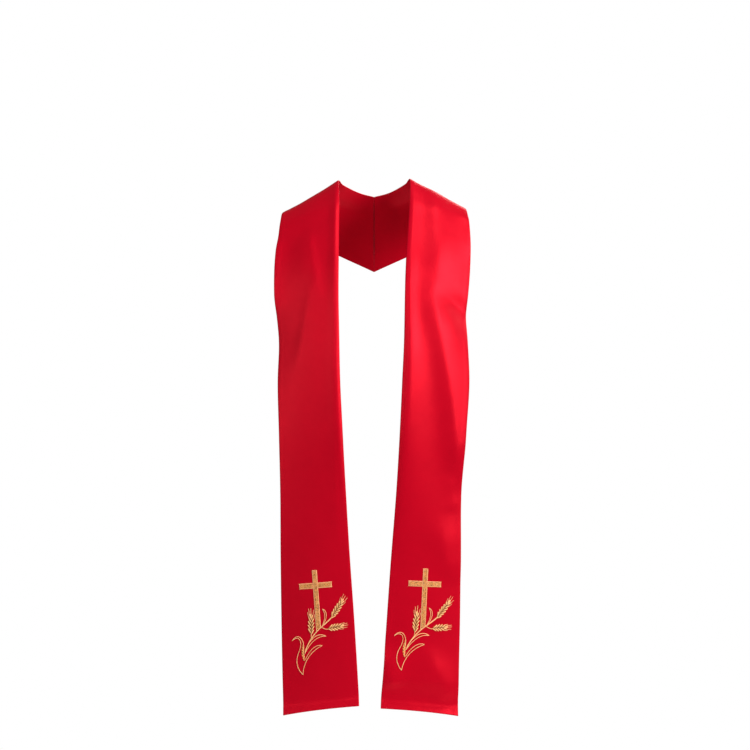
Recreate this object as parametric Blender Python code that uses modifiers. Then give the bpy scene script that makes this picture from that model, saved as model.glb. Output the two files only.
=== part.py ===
"""A clerical stole in its worn form: two satin bands that meet in a mitred seam behind the neck.

Metres, +Z up. The wearer faces -Y, so the wearer's left is at +X. The origin is the nape: the underside
of the cloth at the neck edge of the centre-back seam. Each band is an open sheet given a wall, laid
through sections from its hem, over the shoulder, to the seam.
"""

import math
from collections import namedtuple

import bmesh
import bpy
import numpy as np

# Driving dimensions
WALL = 0.0025  # satin, interlining and backing together
SEAM_GAP = 0.0003  # between the two bands at the centre back
TRIM_GAP = 0.0003  # between the embroidery and the band it lies on
CELLS_ACROSS = 14
CELLS_ALONG = 104
HEM_ARCH = 0.0028  # how far the middle of each hem rises above the line between its corners
OVERRUN = 0.0040  # the cloth laid past the centre before the mitre is cut
PROBE = 0.0005  # step used to find the surface's slope

CROSS_TOP = 0.0306  # from the crossing's middle to the head of the upright
CROSS_FOOT = 0.0880  # from the crossing's middle to the foot
CROSS_SPAN = 0.0670  # tip to tip of the bar
CROSS_UPRIGHT_WIDTH = 0.0105
CROSS_BAR_WIDTH = 0.0115
CROSS_THICKNESS = 0.0010
CROSS_CELL = 0.0080

EAR_THICKNESS = 0.0016
EAR_SEGMENTS = 12
EAR_RINGS = 6

# A section across a band, from its inner edge to its outer one. x is measured out from the centre plane,
# and crown is how far the middle stands out from the straight line between the edges.
Station = namedtuple("Station", "place inner_x inner_y inner_z outer_x outer_y outer_z crown")

SEAM_X = SEAM_GAP / 2

RIGHT_STATIONS = (
    Station("hem", 0.0285, -0.238, -1.0290, 0.1800, -0.214, -1.0515, 0.006),
    Station("calf", 0.0325, -0.237, -0.9600, 0.1822, -0.213, -0.9750, 0.006),
    Station("knee", 0.0387, -0.236, -0.8600, 0.1843, -0.212, -0.8700, 0.007),
    Station("thigh", 0.0472, -0.234, -0.7400, 0.1860, -0.211, -0.7480, 0.007),
    Station("hip", 0.0555, -0.234, -0.6000, 0.1869, -0.208, -0.6060, 0.007),
    Station("waist", 0.0615, -0.236, -0.4800, 0.1900, -0.200, -0.4860, 0.007),
    Station("ribs", 0.0662, -0.232, -0.3800, 0.1928, -0.186, -0.3870, 0.008),
    Station("chest", 0.0677, -0.224, -0.3000, 0.1910, -0.172, -0.3080, 0.008),
    Station("upper_chest", 0.0692, -0.209, -0.2200, 0.1980, -0.158, -0.2320, 0.007),
    Station("collarbone", 0.0700, -0.186, -0.1450, 0.1992, -0.143, -0.1650, 0.006),
    Station("shoulder_front", 0.0700, -0.150, -0.0720, 0.1960, -0.122, -0.1070, 0.004),
    Station("front_slope", 0.0702, -0.119, -0.0180, 0.1918, -0.100, -0.0620, 0.002),
    Station("crest", 0.0718, -0.080, 0.0246, 0.1866, -0.070, -0.0407, -0.001),
    Station("back_slope", 0.0640, -0.040, 0.0210, 0.1690, -0.022, -0.0560, 0.000),
    Station("blade", 0.0365, -0.0107, 0.0095, 0.1180, 0.024, -0.0985, 0.002),
    Station("seam", SEAM_X, 0.000, 0.0000, SEAM_X, 0.040, -0.1560, 0.003),
    Station("past_seam", -0.0365, -0.0107, -0.0095, -0.1180, 0.024, -0.2135, 0.002),
)

LEFT_STATIONS = (
    Station("hem", 0.0120, -0.238, -1.0335, 0.1665, -0.214, -1.0525, 0.006),
    Station("calf", 0.0172, -0.237, -0.9650, 0.1683, -0.213, -0.9770, 0.006),
    Station("knee", 0.0247, -0.236, -0.8620, 0.1712, -0.212, -0.8700, 0.007),
    Station("thigh", 0.0330, -0.234, -0.7420, 0.1727, -0.211, -0.7480, 0.007),
    Station("hip", 0.0430, -0.234, -0.6000, 0.1743, -0.208, -0.6060, 0.007),
    Station("waist", 0.0493, -0.236, -0.4800, 0.1809, -0.200, -0.4860, 0.007),
    Station("ribs", 0.0536, -0.232, -0.3800, 0.1870, -0.186, -0.3870, 0.008),
    Station("chest", 0.0571, -0.224, -0.3000, 0.1848, -0.172, -0.3080, 0.008),
    Station("upper_chest", 0.0601, -0.209, -0.2200, 0.1866, -0.158, -0.2320, 0.007),
    Station("collarbone", 0.0633, -0.186, -0.1450, 0.1936, -0.143, -0.1650, 0.006),
    Station("shoulder_front", 0.0684, -0.150, -0.0710, 0.1945, -0.122, -0.1050, 0.004),
    Station("front_slope", 0.0718, -0.119, -0.0160, 0.1912, -0.100, -0.0580, 0.002),
    Station("crest", 0.0728, -0.080, 0.0278, 0.1868, -0.070, -0.0330, -0.001),
    Station("back_slope", 0.0645, -0.040, 0.0230, 0.1700, -0.022, -0.0520, 0.000),
    Station("blade", 0.0365, -0.0107, 0.0095, 0.1180, 0.024, -0.0985, 0.002),
    Station("seam", SEAM_X, 0.000, 0.0000, SEAM_X, 0.040, -0.1560, 0.003),
    Station("past_seam", -0.0365, -0.0107, -0.0095, -0.1180, 0.024, -0.2135, 0.002),
)

# A soft ridge along a straight line on the flat band. low and high are its ends: along is measured from
# the hem, across is 0 at the inner edge and 1 at the outer one. inner_width is how far it spreads towards
# the inner edge, or upwards if it runs across, and outer_width the other way. low_fade and high_fade are
# the lengths over which its ends die away. A negative height is a trough.
Fold = namedtuple(
    "Fold",
    "place low_along low_across high_along high_across inner_width outer_width height low_fade high_fade",
)

RIGHT_FOLDS = (
    Fold("neck_roll", 0.36, 0.045, 1.08, 0.055, 0.0060, 0.012, 0.0036, 0.20, 0.10),
    Fold("long_roll", 0.30, 0.16, 0.80, 0.12, 0.012, 0.026, 0.0026, 0.16, 0.12),
    Fold("breast_ridge", 0.79, 0.24, 0.975, 0.50, 0.011, 0.055, 0.0031, 0.09, 0.05),
    Fold("slanting_ridge", 0.64, 0.74, 0.900, 0.27, 0.070, 0.015, 0.0028, 0.10, 0.08),
    Fold("outer_lift", 0.79, 1.04, 0.99, 1.04, 0.022, 0.010, 0.0072, 0.05, 0.05),
    Fold("hem_kick", -0.006, -0.30, -0.006, 1.30, 0.020, 0.020, 0.0044, 0.02, 0.02),
    Fold("blade_ridge", 1.13, 0.34, 1.25, 0.26, 0.014, 0.020, 0.0032, 0.04, 0.04),
    Fold("blade_trough", 1.11, 0.66, 1.22, 0.72, 0.013, 0.018, -0.0030, 0.04, 0.04),
)

LEFT_FOLDS = (
    Fold("neck_roll", 0.40, 0.050, 1.10, 0.065, 0.0080, 0.016, 0.0034, 0.30, 0.10),
    Fold("inner_swell", 0.26, 0.10, 0.86, 0.11, 0.024, 0.044, 0.0085, 0.20, 0.16),
    Fold("shoulder_ridge", 0.790, 0.53, 1.110, 0.41, 0.032, 0.060, 0.0104, 0.18, 0.10),
    Fold("outer_roll", 0.90, 1.03, 1.06, 1.01, 0.022, 0.010, 0.0050, 0.10, 0.05),
    Fold("outer_break", 0.850, 0.36, 0.714, 2.00, 0.026, 0.036, -0.0100, 0.08, 0.02),
    Fold("slanting_ridge", 0.430, 1.05, 0.880, 0.37, 0.030, 0.120, 0.0130, 0.11, 0.10),
    Fold("hip_ridge", 0.39, 0.90, 0.48, 0.80, 0.014, 0.014, 0.0012, 0.03, 0.03),
    Fold("thigh_ridge", 0.250, 0.90, 0.400, 0.66, 0.026, 0.040, 0.0042, 0.05, 0.07),
    Fold("hem_inner_ridge", 0.040, 0.16, 0.130, -0.04, 0.016, 0.026, 0.0036, 0.02, 0.04),
    Fold("hem_ridge", 0.020, 0.94, 0.150, 0.44, 0.030, 0.024, 0.0044, 0.03, 0.08),
    Fold("hem_kick", -0.010, -0.30, -0.010, 1.30, 0.022, 0.020, 0.0076, 0.02, 0.02),
    Fold("above_hem", 0.060, -0.20, 0.066, 1.20, 0.050, 0.026, 0.0040, 0.05, 0.05),
    Fold("blade_ridge", 1.12, 0.30, 1.24, 0.24, 0.014, 0.020, 0.0035, 0.04, 0.04),
    Fold("blade_trough", 1.12, 0.62, 1.23, 0.70, 0.013, 0.018, -0.0030, 0.04, 0.04),
)
CREST = 1.8  # 2 rounds a fold's crest, and less makes it crisper

# An ear of wheat, from its stalk to its tip, right and up from the middle of the crossing.
Ear = namedtuple("Ear", "name stalk_right stalk_up tip_right tip_up width")

EARS = (
    Ear("upright", -0.0153, -0.0965, -0.0129, -0.0445, 0.0135),
    Ear("raised", 0.0275, -0.0665, 0.0572, -0.0255, 0.0135),
    Ear("level", 0.0195, -0.0868, 0.0572, -0.0832, 0.0145),
)

# Where the middle of each cross lies on its band, and how far the motif is turned anticlockwise.
Motif = namedtuple("Motif", "along across turn_deg")


class Band:
    """One half of the stole as a surface: along runs from the hem, across from the inner edge."""

    def __init__(self, name, side, stations, folds, motif):
        self.name = name
        self.side = side  # -1 is the wearer's right, +1 the wearer's left
        self.folds = folds
        self.motif = motif
        out = np.array([side, 1.0, 1.0])
        self.inner = np.array([s[1:4] for s in stations]) * out
        self.outer = np.array([s[4:7] for s in stations]) * out
        self.crown = np.array([s.crown for s in stations])
        middle = (self.inner + self.outer) / 2
        steps = np.linalg.norm(np.diff(middle, axis=0), axis=1)
        self.knots = np.concatenate([[0.0], np.cumsum(steps)])
        self.length = self.knots[-2]  # the last station only guides the cloth past the seam

    def smooth(self, values, along):
        """A cubic through each station's value, with slopes taken from the neighbours."""
        slopes = np.gradient(values, self.knots, axis=0)
        span = np.clip(np.searchsorted(self.knots, along) - 1, 0, len(self.knots) - 2)
        start, end = self.knots[span], self.knots[span + 1]
        width = end - start
        t = (along - start) / width
        if values.ndim == 2:
            t, width = t[:, None], width[:, None]
        return (
            (2 * t**3 - 3 * t**2 + 1) * values[span]
            + (t**3 - 2 * t**2 + t) * width * slopes[span]
            + (3 * t**2 - 2 * t**3) * values[span + 1]
            + (t**3 - t**2) * width * slopes[span + 1]
        )

    def chord(self, along, across):
        """A point on the straight line between the two edges."""
        inner = self.smooth(self.inner, along)
        outer = self.smooth(self.outer, along)
        return inner + (outer - inner) * across[:, None]

    def width(self, along):
        """The straight distance between the two edges."""
        return np.linalg.norm(self.smooth(self.outer, along) - self.smooth(self.inner, along), axis=1)

    def normal(self, along, across):
        """The direction that points out of the cloth, away from the wearer."""
        rise = self.chord(along + PROBE, across) - self.chord(along - PROBE, across)
        run = self.chord(along, across + PROBE) - self.chord(along, across - PROBE)
        cross = np.cross(run, rise) * self.side
        return cross / np.linalg.norm(cross, axis=1)[:, None]

    def fold_height(self, along, across):
        """The height of all folds at a point, each a soft ridge or trough that dies away at its ends."""
        width = self.width(along)
        total = np.zeros_like(along)
        for fold in self.folds:
            run_along = fold.high_along - fold.low_along
            run_across = (fold.high_across - fold.low_across) * width
            from_along = along - fold.low_along
            from_across = (across - fold.low_across) * width
            length = np.hypot(run_along, run_across)
            reach = (from_along * run_along + from_across * run_across) / length
            aside = (from_along * run_across - from_across * run_along) / length
            spread = np.where(aside > 0, fold.inner_width, fold.outer_width)
            fade = ease(reach / fold.low_fade) * ease((length - reach) / fold.high_fade)
            total += fold.height * fade * np.exp(-np.abs(aside / spread) ** CREST)
        return total

    def point(self, along, across, lift=0.0):
        """Points on the cloth's underside, moved out by lift."""
        along = np.atleast_1d(np.asarray(along, dtype=float))
        across = np.atleast_1d(np.asarray(across, dtype=float))
        bulge = self.smooth(self.crown, along) * 4 * across * (1 - across)
        height = bulge + self.fold_height(along, across) + lift
        return self.chord(along, across) + self.normal(along, across) * height[:, None]

    def motif_point(self, right, up, lift):
        """A point of the embroidery, right and up from the crossing as seen from the front."""
        turn = math.radians(self.motif.turn_deg)
        aside = right * math.cos(turn) - up * math.sin(turn)
        above = right * math.sin(turn) + up * math.cos(turn)
        along = np.array([self.motif.along + above])
        across = self.motif.across + self.side * aside / self.width(along)
        return self.point(along, across, WALL + TRIM_GAP + lift)[0]


def ease(share):
    """0 below 0, 1 above 1, and a smooth step between."""
    share = np.clip(share, 0.0, 1.0)
    return share * share * (3 - 2 * share)


def make_material(name, colour, roughness, metallic=0.0):
    material = bpy.data.materials.new(name)
    material.use_nodes = True
    shader = material.node_tree.nodes["Principled BSDF"]
    shader.inputs["Base Color"].default_value = (*colour, 1.0)
    shader.inputs["Roughness"].default_value = roughness
    shader.inputs["Metallic"].default_value = metallic
    return material


def add_object(name, bm, material, collection):
    mesh = bpy.data.meshes.new(name)
    bm.to_mesh(mesh)
    bm.free()
    mesh.materials.append(material)
    mesh.shade_smooth()
    obj = bpy.data.objects.new(name, mesh)
    collection.objects.link(obj)
    return obj


def give_wall(obj, thickness):
    """Thickens an open sheet outwards."""
    wall = obj.modifiers.new("wall", "SOLIDIFY")
    wall.thickness = thickness
    wall.offset = 1.0
    wall.use_even_offset = True
    return wall


def cut_mitre(obj, side):
    """Cuts a walled band flat on its own side of the centre plane, half the seam's gap away from it."""
    depsgraph = bpy.context.evaluated_depsgraph_get()
    walled = bpy.data.meshes.new_from_object(obj.evaluated_get(depsgraph))
    obj.modifiers.clear()
    bm = bmesh.new()
    bm.from_mesh(walled)
    geometry = bm.verts[:] + bm.edges[:] + bm.faces[:]
    bmesh.ops.bisect_plane(
        bm, geom=geometry, dist=1e-6, plane_co=(side * SEAM_X, 0, 0), plane_no=(side, 0, 0), clear_inner=True
    )
    bmesh.ops.holes_fill(bm, edges=[edge for edge in bm.edges if edge.is_boundary], sides=0)
    bm.to_mesh(obj.data)
    bm.free()
    bpy.data.meshes.remove(walled)


def make_band(band, material, collection):
    """The band's cloth: a flat grid laid through the sections, given its wall and mitred."""
    bm = bmesh.new()
    bmesh.ops.create_grid(bm, x_segments=CELLS_ACROSS, y_segments=CELLS_ALONG, size=0.5)
    grid = np.array([vert.co[:2] for vert in bm.verts]) + 0.5
    across = grid[:, 0] if band.side > 0 else 1 - grid[:, 0]
    hem = HEM_ARCH * 4 * across * (1 - across)
    points = band.point(hem + grid[:, 1] * (band.length + OVERRUN - hem), across)
    for vert, point in zip(bm.verts, points):
        vert.co = point
    obj = add_object(f"band_{band.name}", bm, material, collection)
    give_wall(obj, WALL)
    cut_mitre(obj, band.side)
    return obj


def cut_into_strips(bm, axis, low, high):
    """Cuts all faces at even steps across one axis, so that they can follow a curved surface."""
    steps = max(1, round((high - low) / CROSS_CELL))
    for step in range(1, steps):
        middle = [0.0, 0.0, 0.0]
        middle[axis] = low + (high - low) * step / steps
        normal = [0.0, 0.0, 0.0]
        normal[axis] = 1.0
        geometry = bm.verts[:] + bm.edges[:] + bm.faces[:]
        bmesh.ops.bisect_plane(bm, geom=geometry, dist=1e-6, plane_co=middle, plane_no=normal)


def make_cross(band, material, collection):
    """A Latin cross: the five filled squares of a grid of nine, laid on the band."""
    columns = (-CROSS_SPAN / 2, -CROSS_UPRIGHT_WIDTH / 2, CROSS_UPRIGHT_WIDTH / 2, CROSS_SPAN / 2)
    rows = (-CROSS_FOOT, -CROSS_BAR_WIDTH / 2, CROSS_BAR_WIDTH / 2, CROSS_TOP)
    bm = bmesh.new()
    bmesh.ops.create_grid(bm, x_segments=3, y_segments=3, size=1.5)
    corners = [f for f in bm.faces if abs(f.calc_center_median().x * f.calc_center_median().y) > 0.5]
    bmesh.ops.delete(bm, geom=corners, context="FACES")
    for vert in bm.verts:
        vert.co.x = columns[round(vert.co.x + 1.5)]
        vert.co.y = rows[round(vert.co.y + 1.5)]
    cut_into_strips(bm, 0, columns[0], columns[1])
    cut_into_strips(bm, 0, columns[2], columns[3])
    cut_into_strips(bm, 1, rows[0], rows[1])
    cut_into_strips(bm, 1, rows[2], rows[3])
    for vert in bm.verts:
        vert.co = band.motif_point(vert.co.x, vert.co.y, 0.0)
    obj = add_object(f"cross_{band.name}", bm, material, collection)
    give_wall(obj, CROSS_THICKNESS)
    return obj


def make_ear(band, ear, material, collection):
    """A low, padded ear: a round form pressed flat onto the band."""
    stalk = np.array([ear.stalk_right, ear.stalk_up])
    tip = np.array([ear.tip_right, ear.tip_up])
    middle, reach = (stalk + tip) / 2, (tip - stalk) / 2
    aside = np.array([-reach[1], reach[0]]) / np.linalg.norm(reach) * ear.width / 2
    bm = bmesh.new()
    bmesh.ops.create_uvsphere(bm, u_segments=EAR_SEGMENTS, v_segments=EAR_RINGS, radius=1.0)
    for vert in bm.verts:
        right, up = middle + reach * vert.co.x + aside * vert.co.y
        vert.co = band.motif_point(right, up, EAR_THICKNESS * (1 + vert.co.z) / 2)
    return add_object(f"ear_{ear.name}_{band.name}", bm, material, collection)


def main():
    for old in list(bpy.data.objects):
        bpy.data.objects.remove(old)
    collection = bpy.data.collections.new("clerical_stole")
    bpy.context.scene.collection.children.link(collection)
    satin = make_material("red_satin", (0.62, 0.006, 0.022), 0.42)
    thread = make_material("gold_thread", (0.66, 0.36, 0.13), 0.45)
    bands = (
        Band("right", -1, RIGHT_STATIONS, RIGHT_FOLDS, Motif(0.2490, 0.500, 1.7)),
        Band("left", 1, LEFT_STATIONS, LEFT_FOLDS, Motif(0.2550, 0.489, -0.5)),
    )
    for band in bands:
        make_band(band, satin, collection)
        make_cross(band, thread, collection)
        for ear in EARS:
            make_ear(band, ear, thread, collection)


main()
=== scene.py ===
"""Dresses a clerical stole: two satin bands with gold crosses and wheat stitched above the hems.

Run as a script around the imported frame. Metres, +Z up. The wearer faces -Y, so the wearer's left is at +X,
and the origin is the nape: the underside of the cloth at the neck edge of the centre-back seam.
"""

import math
import random
from collections import namedtuple
from functools import partial

import bmesh
import bpy
import numpy as np
from bpy.props import FloatProperty, FloatVectorProperty, PointerProperty
from mathutils import Matrix, Vector, noise


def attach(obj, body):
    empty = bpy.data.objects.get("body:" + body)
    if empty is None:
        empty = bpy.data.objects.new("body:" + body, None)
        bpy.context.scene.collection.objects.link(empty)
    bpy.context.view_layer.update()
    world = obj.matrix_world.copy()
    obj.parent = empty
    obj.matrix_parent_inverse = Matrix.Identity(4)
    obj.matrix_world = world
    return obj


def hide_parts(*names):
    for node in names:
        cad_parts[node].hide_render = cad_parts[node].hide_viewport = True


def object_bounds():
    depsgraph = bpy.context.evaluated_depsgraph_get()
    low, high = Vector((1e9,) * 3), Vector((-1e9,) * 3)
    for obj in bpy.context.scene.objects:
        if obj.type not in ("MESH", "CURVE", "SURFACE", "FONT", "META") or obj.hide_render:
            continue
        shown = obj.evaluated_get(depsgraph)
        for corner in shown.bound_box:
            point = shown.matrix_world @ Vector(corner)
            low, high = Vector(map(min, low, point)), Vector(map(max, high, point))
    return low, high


bl_info = {
    "name": "Clerical stole",
    "version": (1, 0, 0),
    "blender": (4, 5, 0),
    "location": "3D View > Sidebar > Stole",
    "description": "Lays a satin stole through its sections and stitches its crosses and wheat",
    "category": "Object",
}

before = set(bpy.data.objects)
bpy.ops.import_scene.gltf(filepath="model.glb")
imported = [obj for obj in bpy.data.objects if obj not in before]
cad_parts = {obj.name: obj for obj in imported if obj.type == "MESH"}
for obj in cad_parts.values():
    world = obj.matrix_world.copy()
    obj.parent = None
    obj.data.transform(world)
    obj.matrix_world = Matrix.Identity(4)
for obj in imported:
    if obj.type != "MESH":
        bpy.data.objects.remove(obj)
CAD_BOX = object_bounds()
BODY = "root"


# The bands, section by section

# A section across a band, from its inner edge to its outer one. x is measured out from the centre plane,
# and crown is how far the middle stands out from the straight line between the edges.
Station = namedtuple("Station", "place inner_x inner_y inner_z outer_x outer_y outer_z crown")

SEAM_GAP = 0.0003  # between the two bands at the centre back
SEAM_X = SEAM_GAP / 2

RIGHT_STATIONS = (
    Station("hem", 0.0285, -0.238, -1.0290, 0.1800, -0.214, -1.0515, 0.006),
    Station("calf", 0.0325, -0.237, -0.9600, 0.1822, -0.213, -0.9750, 0.006),
    Station("knee", 0.0387, -0.236, -0.8600, 0.1843, -0.212, -0.8700, 0.007),
    Station("thigh", 0.0472, -0.234, -0.7400, 0.1860, -0.211, -0.7480, 0.007),
    Station("hip", 0.0555, -0.234, -0.6000, 0.1869, -0.208, -0.6060, 0.007),
    Station("waist", 0.0615, -0.236, -0.4800, 0.1900, -0.200, -0.4860, 0.007),
    Station("ribs", 0.0662, -0.232, -0.3800, 0.1928, -0.186, -0.3870, 0.008),
    Station("chest", 0.0677, -0.224, -0.3000, 0.1910, -0.172, -0.3080, 0.008),
    Station("upper_chest", 0.0692, -0.209, -0.2200, 0.1980, -0.158, -0.2320, 0.007),
    Station("collarbone", 0.0700, -0.186, -0.1450, 0.1992, -0.143, -0.1650, 0.006),
    Station("shoulder_front", 0.0700, -0.150, -0.0720, 0.1960, -0.122, -0.1070, 0.004),
    Station("front_slope", 0.0702, -0.119, -0.0180, 0.1918, -0.100, -0.0620, 0.002),
    Station("crest", 0.0718, -0.080, 0.0246, 0.1866, -0.070, -0.0407, -0.001),
    Station("back_slope", 0.0640, -0.040, 0.0210, 0.1690, -0.022, -0.0560, 0.000),
    Station("blade", 0.0365, -0.0107, 0.0095, 0.1180, 0.024, -0.0985, 0.002),
    Station("seam", SEAM_X, 0.000, 0.0000, SEAM_X, 0.040, -0.1560, 0.003),
    Station("past_seam", -0.0365, -0.0107, -0.0095, -0.1180, 0.024, -0.2135, 0.002),
)

LEFT_STATIONS = (
    Station("hem", 0.0120, -0.238, -1.0335, 0.1665, -0.214, -1.0525, 0.006),
    Station("calf", 0.0172, -0.237, -0.9650, 0.1683, -0.213, -0.9770, 0.006),
    Station("knee", 0.0247, -0.236, -0.8620, 0.1712, -0.212, -0.8700, 0.007),
    Station("thigh", 0.0330, -0.234, -0.7420, 0.1727, -0.211, -0.7480, 0.007),
    Station("hip", 0.0430, -0.234, -0.6000, 0.1743, -0.208, -0.6060, 0.007),
    Station("waist", 0.0493, -0.236, -0.4800, 0.1809, -0.200, -0.4860, 0.007),
    Station("ribs", 0.0536, -0.232, -0.3800, 0.1870, -0.186, -0.3870, 0.008),
    Station("chest", 0.0571, -0.224, -0.3000, 0.1848, -0.172, -0.3080, 0.008),
    Station("upper_chest", 0.0601, -0.209, -0.2200, 0.1866, -0.158, -0.2320, 0.007),
    Station("collarbone", 0.0633, -0.186, -0.1450, 0.1936, -0.143, -0.1650, 0.006),
    Station("shoulder_front", 0.0684, -0.150, -0.0710, 0.1945, -0.122, -0.1050, 0.004),
    Station("front_slope", 0.0718, -0.119, -0.0160, 0.1912, -0.100, -0.0580, 0.002),
    Station("crest", 0.0728, -0.080, 0.0278, 0.1868, -0.070, -0.0330, -0.001),
    Station("back_slope", 0.0645, -0.040, 0.0230, 0.1700, -0.022, -0.0520, 0.000),
    Station("blade", 0.0365, -0.0107, 0.0095, 0.1180, 0.024, -0.0985, 0.002),
    Station("seam", SEAM_X, 0.000, 0.0000, SEAM_X, 0.040, -0.1560, 0.003),
    Station("past_seam", -0.0365, -0.0107, -0.0095, -0.1180, 0.024, -0.2135, 0.002),
)

# A soft ridge along a straight line on the flat band. low and high are its ends: along is measured from
# the hem, across is 0 at the inner edge and 1 at the outer one. inner_width is how far it spreads towards
# the inner edge, or upwards if it runs across, and outer_width the other way. low_fade and high_fade are
# the lengths over which its ends die away. A negative height is a trough.
Fold = namedtuple(
    "Fold",
    "place low_along low_across high_along high_across inner_width outer_width height low_fade high_fade",
)

RIGHT_FOLDS = (
    Fold("neck_roll", 0.36, 0.045, 1.08, 0.055, 0.0060, 0.012, 0.0036, 0.20, 0.10),
    Fold("long_roll", 0.30, 0.16, 0.80, 0.12, 0.012, 0.026, 0.0026, 0.16, 0.12),
    Fold("breast_ridge", 0.79, 0.24, 0.975, 0.50, 0.011, 0.055, 0.0031, 0.09, 0.05),
    Fold("slanting_ridge", 0.64, 0.74, 0.900, 0.27, 0.070, 0.015, 0.0028, 0.10, 0.08),
    Fold("outer_lift", 0.79, 1.04, 0.99, 1.04, 0.022, 0.010, 0.0072, 0.05, 0.05),
    Fold("hem_kick", -0.006, -0.30, -0.006, 1.30, 0.020, 0.020, 0.0044, 0.02, 0.02),
    Fold("blade_ridge", 1.13, 0.34, 1.25, 0.26, 0.014, 0.020, 0.0032, 0.04, 0.04),
    Fold("blade_trough", 1.11, 0.66, 1.22, 0.72, 0.013, 0.018, -0.0030, 0.04, 0.04),
)

LEFT_FOLDS = (
    Fold("neck_roll", 0.40, 0.050, 1.10, 0.065, 0.0080, 0.016, 0.0034, 0.30, 0.10),
    Fold("inner_swell", 0.26, 0.10, 0.86, 0.11, 0.024, 0.044, 0.0085, 0.20, 0.16),
    Fold("shoulder_ridge", 0.790, 0.53, 1.110, 0.41, 0.032, 0.060, 0.0104, 0.18, 0.10),
    Fold("outer_roll", 0.90, 1.03, 1.06, 1.01, 0.022, 0.010, 0.0050, 0.10, 0.05),
    Fold("outer_break", 0.850, 0.36, 0.714, 2.00, 0.026, 0.036, -0.0100, 0.08, 0.02),
    Fold("slanting_ridge", 0.430, 1.05, 0.880, 0.37, 0.030, 0.120, 0.0130, 0.11, 0.10),
    Fold("hip_ridge", 0.39, 0.90, 0.48, 0.80, 0.014, 0.014, 0.0012, 0.03, 0.03),
    Fold("thigh_ridge", 0.250, 0.90, 0.400, 0.66, 0.026, 0.040, 0.0042, 0.05, 0.07),
    Fold("hem_inner_ridge", 0.040, 0.16, 0.130, -0.04, 0.016, 0.026, 0.0036, 0.02, 0.04),
    Fold("hem_ridge", 0.020, 0.94, 0.150, 0.44, 0.030, 0.024, 0.0044, 0.03, 0.08),
    Fold("hem_kick", -0.010, -0.30, -0.010, 1.30, 0.022, 0.020, 0.0076, 0.02, 0.02),
    Fold("above_hem", 0.060, -0.20, 0.066, 1.20, 0.050, 0.026, 0.0040, 0.05, 0.05),
    Fold("blade_ridge", 1.12, 0.30, 1.24, 0.24, 0.014, 0.020, 0.0035, 0.04, 0.04),
    Fold("blade_trough", 1.12, 0.62, 1.23, 0.70, 0.013, 0.018, -0.0030, 0.04, 0.04),
)
CREST = 1.8  # 2 rounds a fold's crest, and less makes it crisper

HEM_ARCH = 0.0028  # how far the middle of each hem rises above the line between its corners
OVERRUN = 0.0040  # the cloth laid past the centre before the mitre is cut
PROBE = 0.0005  # step used to find the surface's slope

CELLS_ACROSS = 48
CELLS_ALONG = 520
EDGE_CROWDING = 0.6  # how strongly the columns of cells gather towards the two long edges
EDGE_ROUND = 0.0011  # radius of the pressed edges
SEAM_ROUND = 0.0008
ROUND_STEPS = 3
SAME_PLACE = 1e-6  # points closer to the mitre than this lie on it
CORNER_DEG = 60  # edges that turn more sharply are corners, and are rounded
AREA_SAMPLES = 400  # places along a band where its width is taken, for its area
ROLL_WIDTH = 0.0035  # the strip along each edge where the satin rolls under
ROLL_DROP = 0.0006
HEM_STEP = 0.0030  # width of the soft step where the turned-up hem ends
RIPPLE_HEIGHT = 0.0005
RIPPLE_ACROSS = 0.045
RIPPLE_ALONG = 0.150
PUCKER_HEIGHT = 0.0005  # along the hem's stitching
PUCKER_ACROSS = 0.016
PUCKER_ALONG = 0.008

# Where the middle of each cross lies on its band, and how far the motif is turned anticlockwise.
Motif = namedtuple("Motif", "along across turn_deg")


def ease(share):
    """0 below 0, 1 above 1, and a smooth step between."""
    share = np.clip(share, 0.0, 1.0)
    return share * share * (3 - 2 * share)


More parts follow.
